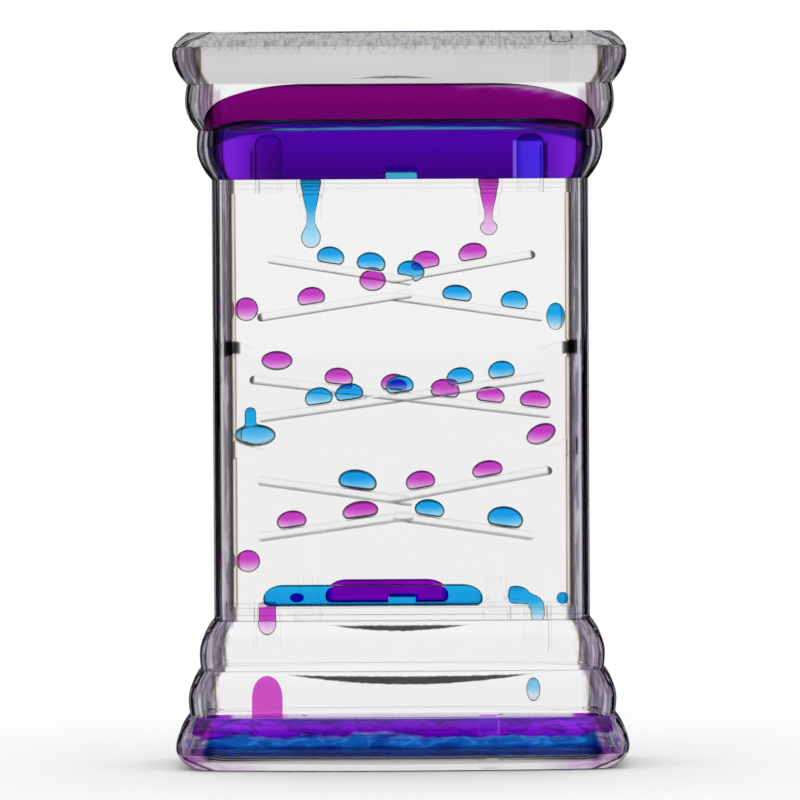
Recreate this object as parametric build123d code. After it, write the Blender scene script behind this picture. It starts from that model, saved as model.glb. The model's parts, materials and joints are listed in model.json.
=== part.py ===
"""A liquid motion timer: a clear sealed case of two half shells and two welded lids.

Inside, a divider makes two channels. Blue water runs down five ramps in the front channel,
and magenta water down five mirrored ramps in the rear channel. The case is full of clear
oil. Millimetres, +Z up, the front at -Y, the origin at the middle of the resting face.
"""
import os
from dataclasses import dataclass
from math import acos, cos, degrees, radians, sin, sqrt, tan

from build123d import *

os.makedirs("parts", exist_ok=True)

# Case
overall_height = 145.0
body_width = 74.2
body_depth = 26.0
body_corner_radius = 5.0
wall = 2.4
lid_thickness = 2.9
fit = 0.05
overrun = 1.0

# Lobes of an end cap, from the end of the case to the waist
end_lobe_height = 10.2
middle_lobe_height = 9.1
inner_lobe_height = 9.7
end_face_flare = 4.6
end_lobe_flare = 7.6
end_notch_flare = 4.7
middle_lobe_flare = 5.1
middle_notch_flare = 2.6
inner_lobe_flare = 2.9
end_lobe_bulge = 3.6
middle_lobe_bulge = 2.4
inner_lobe_bulge = 1.2
end_lobe_peak_share = 0.40
middle_lobe_peak_share = 0.38
inner_lobe_peak_share = 0.33
depth_flare_share = 0.70
corner_flare_share = 0.30

# Cell between the decks
divider_thickness = 1.2
deck_thickness = 2.8
side_wall_thickness = 1.6
front_deflector_reach = 6.0
rear_deflector_reach = 4.1
deflector_height = 3.6
deflector_rise_share = 0.2432

# Ramps. A positive slope falls to the right, in degrees
ramp_thickness = 1.7
front_ramp_slopes = {
    "high_ramp": 9.2, "second_ramp": 8.2, "long_ramp": -8.0, "fourth_ramp": 8.1, "low_ramp": 8.4,
}
rear_ramp_slopes = {
    "high_ramp": -9.8, "second_ramp": -8.7, "long_ramp": 6.9, "fourth_ramp": -10.0, "low_ramp": -7.9,
}

# Each ramp's left and right ends by the clear half width, and its rise by the cell's half height
front_ramp_shares = {
    "high_ramp": (-0.796, 0.076, 0.581),
    "second_ramp": (-0.061, 0.856, 0.494),
    "long_ramp": (-0.856, 0.862, 0.009),
    "fourth_ramp": (-0.862, 0.073, -0.489),
    "low_ramp": (-0.057, 0.796, -0.571),
}
rear_ramp_shares = {
    "high_ramp": (-0.073, 0.809, 0.585),
    "second_ramp": (-0.859, 0.076, 0.501),
    "long_ramp": (-0.908, 0.908, 0.005),
    "fourth_ramp": (-0.076, 0.905, -0.484),
    "low_ramp": (-0.868, 0.076, -0.581),
}

# Drip nozzles, placed by shares of the clear half width
upper_nozzle_share = 0.5325
lower_nozzle_share = 0.5658
nozzle_length = 8.1
nozzle_flange_radius = 2.9
nozzle_shoulder_radius = 2.45
nozzle_tip_radius = 2.05
nozzle_taper_length = 1.9
bore_mouth_radius = 2.3
bore_tip_radius = 0.95
bore_mouth_depth = 0.8
bore_tip_length = 1.4

# Return tubes, placed by shares of the clear half width
upper_tube_share = 0.7837
lower_tube_share = 0.8109
tube_radius = 2.7
tube_bore_radius = 2.05
tube_reach = 6.6

# Key pads across the rear decks, on their outer faces and towards the cell
outer_key_width = 6.3
outer_key_height = 2.3
inner_key_width = 5.2
inner_key_height = 1.2

# Filling plugs, placed by shares of the half width
plug_radius = 1.85
plug_head_radius = 2.35
plug_head_height = 1.6
plug_length = 9.6
front_plug_share = 0.8464
rear_plug_share = 0.4555

# Liquid
film = 0.1
liquid_gap = 0.3
thread_gap = 0.08
drop_width = 5.6
drop_height = 3.7
drop_waist_share = 0.35
drop_contact_share = 0.78

half_width = body_width / 2
half_depth = body_depth / 2
cap_height = end_lobe_height + middle_lobe_height + inner_lobe_height
middle_height = overall_height / 2
cell_low = cap_height + deck_thickness
cell_high = overall_height - cell_low
inner_half_width = half_width - wall
inner_half_depth = half_depth - wall
divider_face = divider_thickness / 2
channel_depth = inner_half_depth - divider_face
channel_middle = (inner_half_depth + divider_face) / 2
side_wall_face = inner_half_width - fit - side_wall_thickness
cell_half_height = (cell_high - cell_low) / 2
deflector_rise = deflector_rise_share * cell_half_height
upper_nozzle_offset = upper_nozzle_share * side_wall_face
lower_nozzle_offset = lower_nozzle_share * side_wall_face
upper_tube_offset = upper_tube_share * side_wall_face
lower_tube_offset = lower_tube_share * side_wall_face
front_plug_offset = front_plug_share * half_width
rear_plug_offset = rear_plug_share * half_width
FRONT = -1
REAR = 1


@dataclass
class Lobe:
    """One rounded band of an end cap. Heights run from the end of the case."""

    start: float
    height: float
    peak_share: float
    start_flare: float
    peak_flare: float
    finish_flare: float
    bulge: float

    @property
    def finish(self):
        return self.start + self.height

    def flare(self, height):
        """How far the side stands out past the waist: a parabola each way from the peak."""
        peak = self.start + self.peak_share * self.height
        if height <= peak:
            away = (peak - height) / (peak - self.start)
            edge = self.start_flare
        else:
            away = (height - peak) / (self.finish - peak)
            edge = self.finish_flare
        return self.peak_flare - (self.peak_flare - edge) * away**2


END_LOBE = Lobe(
    0.0, end_lobe_height, end_lobe_peak_share,
    end_face_flare, end_lobe_flare, end_notch_flare, end_lobe_bulge,
)
MIDDLE_LOBE = Lobe(
    END_LOBE.finish, middle_lobe_height, middle_lobe_peak_share,
    end_notch_flare, middle_lobe_flare, middle_notch_flare, middle_lobe_bulge,
)
INNER_LOBE = Lobe(
    MIDDLE_LOBE.finish, inner_lobe_height, inner_lobe_peak_share,
    middle_notch_flare, inner_lobe_flare, 0.0, inner_lobe_bulge,
)


def lobe_outline(lobe, height, inset):
    """The plan of a lobe at a height: bowed front and back, straight sides, round corners."""
    flare = lobe.flare(height)
    side = half_width + flare - inset
    front = half_depth + depth_flare_share * flare + lobe.bulge - inset
    corner = body_corner_radius + corner_flare_share * flare - inset
    bow = (side**2 + lobe.bulge**2) / (2 * lobe.bulge)
    corner_x = side - corner
    bow_y = bow - front
    corner_y = bow_y - sqrt((bow - corner) ** 2 - corner_x**2)
    bow_middle = Vector(0, bow_y)
    corner_middle = Vector(corner_x, corner_y)
    outward = (corner_middle - bow_middle).normalized()
    meet = bow_middle + outward * bow
    turn = corner_middle + (outward + Vector(1, 0)).normalized() * corner
    front_arc = ThreePointArc((-meet.X, meet.Y), (0, -front), (meet.X, meet.Y))
    front_right = ThreePointArc((meet.X, meet.Y), (turn.X, turn.Y), (side, corner_y))
    right = Line((side, corner_y), (side, -corner_y))
    rear_right = ThreePointArc((side, -corner_y), (turn.X, -turn.Y), (meet.X, -meet.Y))
    rear_arc = ThreePointArc((meet.X, -meet.Y), (0, front), (-meet.X, -meet.Y))
    rear_left = ThreePointArc((-meet.X, -meet.Y), (-turn.X, -turn.Y), (-side, -corner_y))
    left = Line((-side, -corner_y), (-side, corner_y))
    front_left = ThreePointArc((-side, corner_y), (-turn.X, turn.Y), (-meet.X, meet.Y))
    edges = [front_arc, front_right, right, rear_right, rear_arc, rear_left, left, front_left]
    return Pos(0, 0, height) * make_face(edges)


def lobe_solid(lobe, inset, low, high):
    """A lobe between two heights, lofted through its peak."""
    peak = lobe.start + lobe.peak_share * lobe.height
    if low < peak < high:
        heights = [low, (low + peak) / 2, peak, (peak + high) / 2, high]
    else:
        heights = [low, (low + high) / 2, high]
    return loft([lobe_outline(lobe, height, inset) for height in heights])


def waist_block(inset, low, high):
    """The waist's rounded rectangle between two heights."""
    plan = RectangleRounded(
        body_width - 2 * inset, body_depth - 2 * inset, body_corner_radius - inset
    )
    return Pos(0, 0, low) * extrude(plan, high - low)


def other_end(shape):
    """The same shape at the other end of the case."""
    return mirror(shape, Plane.XY.offset(middle_height))


def half_space(side, clear=0.0):
    """Everything on one side of the mid-plane, a clearance away from it."""
    depth = 2 * body_depth
    block = Box(2 * body_width, depth, 2 * overall_height)
    return Pos(0, side * (depth / 2 + clear), middle_height) * block


def turned(points):
    """A solid of revolution about Z from its radius and height points."""
    return revolve(Plane.XZ * make_face(Polyline(*points, close=True)), Axis.Z)


def hung(shape, x, y, top):
    """A turned piece whose zero height goes to the outer face of an upper deck."""
    return Pos(x, y, top) * mirror(shape, Plane.XY)


def save(name, *solids):
    """Write one node."""
    export_step(Compound(children=list(solids)) if len(solids) > 1 else solids[0], f"parts/{name}.step")


def case_solid(inset, end):
    """The whole case grown inwards by an inset, from one lid's face to the other's."""
    cap = lobe_solid(END_LOBE, inset, end, END_LOBE.finish)
    cap += lobe_solid(MIDDLE_LOBE, inset, MIDDLE_LOBE.start, MIDDLE_LOBE.finish)
    cap += lobe_solid(INNER_LOBE, inset, INNER_LOBE.start, INNER_LOBE.finish)
    waist = waist_block(inset, cap_height, overall_height - cap_height)
    return cap + waist + other_end(cap)


# Case: two half shells that meet at the mid-plane, and the welded lids
shell = case_solid(0.0, lid_thickness) - case_solid(wall, lid_thickness)
save("front_shell", shell & half_space(FRONT))
save("rear_shell", shell & half_space(REAR))

plug_depth = channel_middle + INNER_LOBE.bulge
lid = lobe_solid(END_LOBE, 0.0, 0.0, lid_thickness)
plug_hole = turned([
    (0, -overrun), (plug_head_radius + fit, -overrun),
    (plug_head_radius + fit, plug_head_height + fit),
    (plug_radius + fit, plug_head_height + fit),
    (plug_radius + fit, lid_thickness + overrun), (0, lid_thickness + overrun),
])
plug = turned([
    (0, 0), (plug_head_radius, 0), (plug_head_radius, plug_head_height),
    (plug_radius, plug_head_height), (plug_radius, plug_length), (0, plug_length),
])
top_lid = other_end(lid - Pos(front_plug_offset, -plug_depth) * plug_hole)
bottom_lid = lid - Pos(rear_plug_offset, plug_depth) * plug_hole
save("top_lid", top_lid)
save("bottom_lid", bottom_lid)
save("front_fill_plug", other_end(Pos(front_plug_offset, -plug_depth) * plug))
save("rear_fill_plug", Pos(rear_plug_offset, plug_depth) * plug)

# Divider between the channels, from lid to lid
divider_plate = Pos(0, 0, middle_height) * Box(2 * body_width, divider_thickness, overall_height)
save("divider", case_solid(wall + 2 * fit, lid_thickness) & divider_plate)


# Decks, with the holes for a nozzle and a return tube
def key_pads(y, grow=0.0):
    """The pads that key a rear deck, on both of its faces, at the lower end of the cell."""
    depth = channel_depth - fit
    middle = Pos(0, y - fit / 2, cap_height + deck_thickness / 2)
    outer = Box(
        outer_key_width + 2 * grow, depth, deck_thickness / 2 + outer_key_height + grow,
        align=(Align.CENTER, Align.CENTER, Align.MAX),
    )
    inner = Box(
        inner_key_width + 2 * grow, depth, deck_thickness / 2 + inner_key_height + grow,
        align=(Align.CENTER, Align.CENTER, Align.MIN),
    )
    return middle * (outer + inner)


def deck(side, nozzle_x, tube_x, keyed):
    """A deck half at the lower end of the cell."""
    plate = waist_block(wall + fit, cap_height, cell_low) & half_space(side, divider_face)
    y = side * channel_middle
    for x, radius in ((nozzle_x, nozzle_flange_radius), (tube_x, tube_radius)):
        hole = Cylinder(radius + fit, deck_thickness + 2 * overrun)
        plate -= Pos(x, y, cap_height + deck_thickness / 2) * hole
    if keyed:
        plate += key_pads(y)
    return plate


save("front_lower_deck", deck(FRONT, lower_nozzle_offset, lower_tube_offset, False))
save("rear_lower_deck", deck(REAR, -lower_nozzle_offset, -lower_tube_offset, True))
front_upper_deck = deck(FRONT, -upper_nozzle_offset, -upper_tube_offset, False)
save("front_upper_deck", other_end(front_upper_deck))
rear_upper_deck = deck(REAR, upper_nozzle_offset, upper_tube_offset, True)
save("rear_upper_deck", other_end(rear_upper_deck))

# Drip nozzles: zero height is the deck's outer face, and the tip is inside the cell
bore_taper_end = nozzle_length - bore_tip_length
nozzle = turned([
    (bore_mouth_radius, 0), (nozzle_flange_radius, 0),
    (nozzle_flange_radius, deck_thickness), (nozzle_shoulder_radius, deck_thickness),
    (nozzle_tip_radius, deck_thickness + nozzle_taper_length),
    (nozzle_tip_radius, nozzle_length), (bore_tip_radius, nozzle_length),
    (bore_tip_radius, bore_taper_end), (bore_mouth_radius, bore_mouth_depth),
])
upper_deck_face = overall_height - cap_height
save("front_upper_nozzle", hung(nozzle, -upper_nozzle_offset, -channel_middle, upper_deck_face))
save("rear_upper_nozzle", hung(nozzle, upper_nozzle_offset, channel_middle, upper_deck_face))
save("front_lower_nozzle", Pos(lower_nozzle_offset, -channel_middle, cap_height) * nozzle)
save("rear_lower_nozzle", Pos(-lower_nozzle_offset, channel_middle, cap_height) * nozzle)

# Return tubes: zero height is the deck's face towards the cell
tube_length = deck_thickness + tube_reach
tube = turned([
    (tube_bore_radius, 0), (tube_radius, 0), (tube_radius, tube_length),
    (tube_bore_radius, tube_length),
])
save("front_upper_tube", Pos(-upper_tube_offset, -channel_middle, cell_high) * tube)
save("rear_upper_tube", Pos(upper_tube_offset, channel_middle, cell_high) * tube)
save("front_lower_tube", hung(tube, lower_tube_offset, -channel_middle, cell_low))
save("rear_lower_tube", hung(tube, -lower_tube_offset, channel_middle, cell_low))


# Cell side walls, each with the wedge that turns the drops on to the next ramp
def deflector_profile(reach, grow=0.0):
    """The wedge's outline in its own plane: the wall is at x = 0 and the tip at -reach."""
    half_base = deflector_height / 2
    return Polyline((0, half_base + grow), (-reach - 2 * grow, 0), (0, -half_base - grow), close=True)


def wedge(x_side, side, reach, rise, grow=0.0):
    """A deflector across the channel, on the wall at x_side."""
    profile = make_face(deflector_profile(reach, grow))
    prism = extrude(Plane.XZ * profile, channel_depth / 2, both=True)
    if x_side < 0:
        prism = mirror(prism, Plane.YZ)
    return Pos(x_side * side_wall_face, side * channel_middle, middle_height + rise) * prism


def side_wall(x_side, side, reach, rise):
    """A cell wall half at x_side in one channel."""
    strip_depth = 2 * body_depth
    strip = Box(2 * side_wall_thickness, strip_depth, overall_height)
    strip_x = x_side * (side_wall_face + side_wall_thickness)
    block = waist_block(wall + fit, cell_low, cell_high) & half_space(side, divider_face)
    strip = Pos(strip_x, 0, middle_height) * strip
    return (block & strip) + (block & wedge(x_side, side, reach, rise))


save("front_left_wall", side_wall(-1, FRONT, front_deflector_reach, -deflector_rise))
save("front_right_wall", side_wall(1, FRONT, front_deflector_reach, deflector_rise))
save("rear_left_wall", side_wall(-1, REAR, rear_deflector_reach, deflector_rise))
save("rear_right_wall", side_wall(1, REAR, rear_deflector_reach, -deflector_rise))


# Ramps: bars with round ends from the divider to the window
@dataclass
class Ramp:
    """A ramp's ends in x, and its centre line's height over the middle at x = 0."""

    left: float
    right: float
    rise: float
    slope: float
    side: int

    @property
    def fall(self):
        return tan(radians(self.slope))

    @property
    def stretch(self):
        """How much longer the ramp is than its run in x."""
        return sqrt(1 + self.fall**2)

    def top(self, x):
        """The height of the upper face at x."""
        return middle_height + self.rise - self.fall * x + ramp_thickness / 2 * self.stretch

    def place(self, share):
        """The x at a share of the way from the upper end to the lower one."""
        if self.slope > 0:
            return self.left + share * (self.right - self.left)
        return self.right - share * (self.right - self.left)

    def solid(self, grow=0.0):
        middle = (self.left + self.right) / 2
        length = (self.right - self.left) * self.stretch + 2 * grow
        outline = SlotOverall(length, ramp_thickness + 2 * grow)
        bar = extrude(Plane.XZ * outline, channel_depth / 2, both=True)
        height = middle_height + self.rise - self.fall * middle
        return Pos(middle, self.side * channel_middle, height) * Rot(0, self.slope, 0) * bar


def ladder(side, ramp_shares, slopes):
    """The five ramps of a channel."""
    ramps = {}
    for name, (left, right, rise) in ramp_shares.items():
        ramps[name] = Ramp(
            left * side_wall_face, right * side_wall_face, rise * cell_half_height,
            slopes[name], side,
        )
    return ramps


front_ramps = ladder(FRONT, front_ramp_shares, front_ramp_slopes)
rear_ramps = ladder(REAR, rear_ramp_shares, rear_ramp_slopes)
for name, ramp in front_ramps.items():
    save(f"front_{name}", ramp.solid())
for name, ramp in rear_ramps.items():
    save(f"rear_{name}", ramp.solid())


# Drops: flattened domes with a small foot, as water sits on plastic in oil
def oval_arc(level, reach, rise, start, finish):
    """An arc of an oval about (0, level), between two turns in degrees."""
    first = radians(start)
    last = radians(finish)
    pull = 4 / 3 * tan((last - first) / 4)
    begin = Vector(reach * cos(first), level + rise * sin(first))
    end = Vector(reach * cos(last), level + rise * sin(last))
    leave = Vector(-reach * sin(first), rise * cos(first)) * pull
    arrive = Vector(-reach * sin(last), rise * cos(last)) * pull
    return Bezier(begin, begin + leave, end - arrive, end)


def turned_edges(*edges):
    """A solid of revolution about Z from the edges of its profile."""
    return revolve(Plane.XZ * make_face(edges), Axis.Z)


def sitting_drop(width_share=1.0, height_share=1.0):
    """A drop that sits on z = 0."""
    reach = drop_width * width_share / 2
    height = drop_height * height_share
    waist = drop_waist_share * height
    foot_turn = acos(drop_contact_share)
    lower = oval_arc(waist, reach, waist / sin(foot_turn), -degrees(foot_turn), 0)
    upper = oval_arc(waist, reach, height - waist, 0, 90)
    foot = Line((0, 0), (drop_contact_share * reach, 0))
    return turned_edges(foot, lower, upper, Line((0, height), (0, 0)))


def free_drop(width, height):
    """An egg of water in the oil, about its own middle."""
    lower = oval_arc(0, width / 2, height / 2, -90, 0)
    upper = oval_arc(0, width / 2, height / 2, 0, 90)
    return turned_edges(lower, upper, Line((0, height / 2), (0, -height / 2)))


def on_ramp(ramp, share, width_share=1.0, height_share=1.0, lift_share=0.0):
    """A drop on a ramp, or one that has yet to land on it, a share of the way down it."""
    x = ramp.place(share)
    if lift_share:
        width = drop_width * width_share
        height = drop_height * height_share
        z = ramp.top(x) + lift_share * drop_height + height / 2
        return Pos(x, ramp.side * channel_middle, z) * free_drop(width, height)
    place = Pos(x, ramp.side * channel_middle, ramp.top(x) + film * ramp.stretch)
    return place * Rot(0, ramp.slope, 0) * sitting_drop(width_share, height_share)


def run_of_drops(name, ramp, drop_shares):
    """A node of drops on one ramp. Each entry is a place, a width, a height and any lift."""
    save(name, *[on_ramp(ramp, *shares) for shares in drop_shares])


front_high_drop_shares = [(0.429, 0.99, 0.92), (0.706, 1.04, 0.95)]
front_second_drop_shares = [(0.430, 1.07, 0.84), (0.802, 0.98, 0.95)]
front_long_drop_shares = [
    (0.149, 0.96, 0.92), (0.293, 0.98, 0.89), (0.503, 1.01, 0.92), (0.679, 1.01, 0.90),
    (0.785, 1.00, 0.92),
]
front_fourth_drop_shares = [(0.635, 1.38, 1.04)]
front_low_drop_shares = [(0.257, 1.07, 0.89), (0.785, 1.29, 1.08)]
rear_high_drop_shares = [(0.417, 1.03, 0.93), (0.737, 1.02, 0.95)]
rear_second_drop_shares = [(0.260, 0.96, 1.18, 0.20), (0.649, 1.01, 0.93)]
rear_long_drop_shares = [
    (0.090, 1.12, 1.05, 0.40), (0.292, 1.03, 0.91), (0.478, 1.03, 0.93), (0.643, 1.06, 0.97),
    (0.794, 1.04, 0.85), (0.942, 1.12, 0.92),
]
rear_fourth_drop_shares = [(0.389, 1.11, 0.85), (0.799, 1.07, 0.95)]
rear_low_drop_shares = [(0.338, 1.30, 0.89), (0.776, 1.08, 0.91)]

run_of_drops("blue_high_drops", front_ramps["high_ramp"], front_high_drop_shares)
run_of_drops("blue_second_drops", front_ramps["second_ramp"], front_second_drop_shares)
run_of_drops("blue_long_drops", front_ramps["long_ramp"], front_long_drop_shares)
run_of_drops("blue_fourth_drop", front_ramps["fourth_ramp"], front_fourth_drop_shares)
run_of_drops("blue_low_drops", front_ramps["low_ramp"], front_low_drop_shares)
run_of_drops("magenta_high_drops", rear_ramps["high_ramp"], rear_high_drop_shares)
run_of_drops("magenta_second_drops", rear_ramps["second_ramp"], rear_second_drop_shares)
run_of_drops("magenta_long_drops", rear_ramps["long_ramp"], rear_long_drop_shares)
run_of_drops("magenta_fourth_drops", rear_ramps["fourth_ramp"], rear_fourth_drop_shares)
run_of_drops("magenta_low_drops", rear_ramps["low_ramp"], rear_low_drop_shares)


# Threads of liquid in the upper nozzles, each with its hanging drop
def thread(reach, radius):
    """Liquid in a nozzle: zero height is the deck's outer face, the drop ends at reach."""
    mouth = bore_mouth_radius - thread_gap
    neck = bore_tip_radius - thread_gap
    widest = reach - radius
    swell = widest - nozzle_length
    return turned_edges(
        Line((0, 0), (mouth, 0)),
        Line((mouth, 0), (mouth, bore_mouth_depth)),
        Line((mouth, bore_mouth_depth), (neck, bore_taper_end)),
        Line((neck, bore_taper_end), (neck, nozzle_length)),
        Bezier(
            (neck, nozzle_length), (neck, nozzle_length + swell * hang_swell_share),
            (radius, widest - swell * hang_swell_share), (radius, widest),
        ),
        oval_arc(widest, radius, reach - widest, 0, 90),
        Line((0, reach), (0, 0)),
    )


def hanging_drop(ramp, x, reach_share, radius_share):
    """A thread whose drop hangs a share of the way from the nozzle's tip to the ramp below."""
    room = upper_deck_face - nozzle_length - ramp.top(x)
    hang = reach_share * room
    liquid = thread(nozzle_length + hang, radius_share * hang)
    return hung(liquid, x, ramp.side * channel_middle, upper_deck_face)


hang_swell_share = 0.5
blue_hang_shares = (0.684, 0.360)
magenta_hang_shares = (0.429, 0.539)
save(
    "blue_hanging_drop",
    hanging_drop(front_ramps["high_ramp"], -upper_nozzle_offset, *blue_hang_shares),
)
save(
    "magenta_hanging_drop",
    hanging_drop(rear_ramps["high_ramp"], upper_nozzle_offset, *magenta_hang_shares),
)

# The drop that tips over the end of the front high ramp
tipping_width = 5.5
tipping_height = 4.3
tipping_place_share = 0.985
high_ramp = front_ramps["high_ramp"]
tipping_x = high_ramp.place(tipping_place_share)
tipping_z = high_ramp.top(tipping_x) + tipping_height / 4
tipping_place = Pos(tipping_x, -channel_middle, tipping_z)
tipping_egg = tipping_place * Rot(0, high_ramp.slope, 0) * free_drop(tipping_width, tipping_height)
save("blue_tipping_drop", tipping_egg - high_ramp.solid(film))

# Drops on and about the deflectors and the ends of the ramps
falling_width_share = 0.777
falling_height = 5.5
blue_falling_share = 0.398
blue_falling_rise = blue_falling_share * cell_half_height
falling_width = falling_width_share * (side_wall_face - front_ramps["second_ramp"].right)
blue_falling_x = side_wall_face - falling_width / 2 - 2 * liquid_gap
save(
    "blue_falling_drop",
    Pos(blue_falling_x, -channel_middle, middle_height + blue_falling_rise)
    * free_drop(falling_width, falling_height),
)

landed_width = 8.2
landed_height = 4.4
landed_tail_radius = 1.15
landed_tail_reach = 5.6
landed_x = -side_wall_face + landed_width / 2 + film
landed_z = middle_height - deflector_rise + deflector_height / 2 + landed_height / 4
landed_body = Pos(landed_x, -channel_middle, landed_z) * free_drop(landed_width, landed_height)
landed_tail_x = front_ramps["long_ramp"].left - landed_tail_radius - liquid_gap
landed_tail = Pos(landed_tail_x, -channel_middle, landed_z) * (
    Cylinder(
        landed_tail_radius, landed_tail_reach - landed_tail_radius,
        align=(Align.CENTER, Align.CENTER, Align.MIN),
    )
    + Pos(0, 0, landed_tail_reach - landed_tail_radius) * Sphere(landed_tail_radius)
)
left_cutter = wedge(-1, FRONT, front_deflector_reach, -deflector_rise, film)
landed_drop = landed_body + landed_tail - left_cutter - front_ramps["long_ramp"].solid(film)
save("blue_landed_drop", landed_drop)

# A drop bent by its tumble off the rear long ramp
tumbling_width_share = 0.624
tumbling_height_share = 0.393
tumbling_turn = -24
tumbling_place_share = 0.963
tumbling_rise_share = 0.66
long_ramp = rear_ramps["long_ramp"]
tumbling_x = long_ramp.place(tumbling_place_share)
tumbling_floor = rear_ramps["fourth_ramp"].top(tumbling_x)
tumbling_room = long_ramp.top(tumbling_x) - ramp_thickness - tumbling_floor
tumbling_width = tumbling_width_share * tumbling_room
tumbling_height = tumbling_height_share * tumbling_room
tumbling_z = tumbling_floor + tumbling_rise_share * tumbling_room
save(
    "magenta_tumbling_drop",
    Pos(tumbling_x, channel_middle, tumbling_z)
    * Rot(0, tumbling_turn, 0)
    * free_drop(tumbling_width, tumbling_height),
)

edge_width = 4.7
edge_height = 4.8
second_ramp = rear_ramps["second_ramp"]
edge_x = -side_wall_face + edge_width / 2 + film
edge_z = second_ramp.top(second_ramp.left) + edge_height / 6
edge_drop = Pos(edge_x, channel_middle, edge_z) * free_drop(edge_width, edge_height)
save("magenta_edge_drop", edge_drop - second_ramp.solid(film))

rear_falling_width = 4.8
rear_falling_height = 4.5
rear_falling_share = 0.796
rear_falling_rise = rear_falling_share * cell_half_height
rear_falling_x = -side_wall_face + rear_falling_width / 2 + film
save(
    "magenta_falling_drop",
    Pos(rear_falling_x, channel_middle, middle_height - rear_falling_rise)
    * free_drop(rear_falling_width, rear_falling_height),
)


# Pools on the cell's floor: pancakes with round rims that taper at their ends
def level_prism(plane, half_length, edge, crown, rounding):
    """A long prism, level on top between oval shoulders. Heights are over its plane."""
    shoulder = Pos(half_length - rounding, 0) * oval_arc(edge, rounding, crown - edge, 0, 90)
    other_shoulder = mirror(shoulder, Plane.YZ)
    crown_line = Line(shoulder @ 1, other_shoulder @ 1)
    foot = Polyline(other_shoulder @ 0, (-half_length, 0), (half_length, 0), shoulder @ 0)
    profile = make_face([shoulder, crown_line, other_shoulder, *foot.edges()])
    return extrude(plane * profile, body_width, both=True)


pool_depth = 8.2
pool_rim = 1.8
pool_foot = 1.0
pool_taper = 4.4
pool_edge = 1.4
front_pool_length = 43.4
front_pool_height = 4.0
front_pool_x = lower_nozzle_offset - nozzle_shoulder_radius - liquid_gap - front_pool_length / 2
rear_pool_length = 24.5
rear_pool_height = 4.5
rear_pool_gap = 1.0
rear_pool_x = nozzle_shoulder_radius + rear_pool_gap + rear_pool_length / 2 - lower_nozzle_offset
front_bead_radius = 1.2
rear_bead_width = 2.8
rear_bead_height = 2.0
rear_bead_offset = 2.2
rear_bead_x = -lower_nozzle_offset - rear_bead_offset


def pancake(length, height):
    """A pool that sits on z = 0, with a round rim and a smaller round at its foot."""
    slab = extrude(RectangleRounded(length, pool_depth, pool_depth / 2 - pool_foot), height)
    slab = fillet(slab.edges().group_by(Axis.Z)[-1], pool_rim)
    slab = fillet(slab.edges().group_by(Axis.Z)[0], pool_foot)
    return slab & level_prism(Plane.XZ, length / 2, pool_edge, height, pool_taper)


cell_room = Pos(0, 0, middle_height) * Box(
    2 * (side_wall_face - film), 2 * (inner_half_depth - film), 2 * cell_half_height
)
front_pool = Pos(front_pool_x, -channel_middle, cell_low) * pancake(front_pool_length, front_pool_height)
front_pool &= cell_room
front_bead_x = side_wall_face - front_bead_radius - film
front_bead = Pos(front_bead_x, -channel_middle, cell_low + front_bead_radius) * Sphere(front_bead_radius)
save("blue_floor_pool", front_pool, front_bead)
rear_pool = Pos(rear_pool_x, channel_middle, cell_low) * pancake(rear_pool_length, rear_pool_height)
rear_bead_y = divider_face + rear_bead_width / 2 + film
rear_bead = Pos(rear_bead_x, rear_bead_y, cell_low + rear_bead_height / 2 + film) * free_drop(
    rear_bead_width, rear_bead_height
)
save("magenta_floor_pool", rear_pool - key_pads(channel_middle, film), rear_bead)

# Liquid that drains through the lower return tubes
worm_radius = 1.5
worm_head_length = 5.6
worm_head_height = 3.6
worm_bend_radius = 3.0
worm_reach = 3.5
worm_head_x = lower_tube_offset - worm_head_length / 2 - worm_radius
worm_level = cell_low + worm_head_height / 2 + film
worm_end = cell_low - worm_reach + worm_radius
worm_head = Rot(0, 90, 0) * free_drop(worm_head_height, worm_head_length)
worm_head = Pos(worm_head_x, -channel_middle, worm_level) * worm_head
worm_bend = FilletPolyline(
    (worm_head_x, worm_level), (lower_tube_offset, cell_low), (lower_tube_offset, worm_end),
    radius=worm_bend_radius / 2,
)
worm_route = Pos(0, -channel_middle, 0) * (Plane.XZ * worm_bend)
worm_start = Plane(origin=worm_route @ 0, z_dir=worm_route % 0)
worm = worm_head + sweep(worm_start * Circle(worm_radius), worm_route)
worm += Pos(lower_tube_offset, -channel_middle, worm_end) * Sphere(worm_radius)
worm_room = Pos(0, -channel_middle, cell_low + film) * Box(
    body_width, body_depth, cap_height, align=(Align.CENTER, Align.CENTER, Align.MIN)
)
worm_room += Pos(lower_tube_offset, -channel_middle, cap_height) * Cylinder(
    tube_bore_radius - film, cap_height
)
nozzle_room = Cylinder(
    nozzle_shoulder_radius + film, nozzle_length, align=(Align.CENTER, Align.CENTER, Align.MIN)
)
worm_room -= Pos(lower_nozzle_offset, -channel_middle, cell_low) * nozzle_room
save("blue_draining_drop", worm & worm_room)

finger_radius = 1.85
finger_reach = 7.7
finger = turned([
    (0, 0), (finger_radius, 0), (finger_radius, finger_reach - finger_radius),
    (0, finger_reach - finger_radius),
]) + Pos(0, 0, finger_reach - finger_radius) * Sphere(finger_radius)
save("magenta_draining_finger", hung(finger, -lower_tube_offset, channel_middle, cell_low))

reservoir_drop_width = 2.8
reservoir_drop_height = 3.8
reservoir_drop_level = 14.5
save(
    "blue_reservoir_drop",
    Pos(lower_tube_offset - tube_bore_radius / 2, -channel_middle, reservoir_drop_level)
    * free_drop(reservoir_drop_width, reservoir_drop_height),
)


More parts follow.
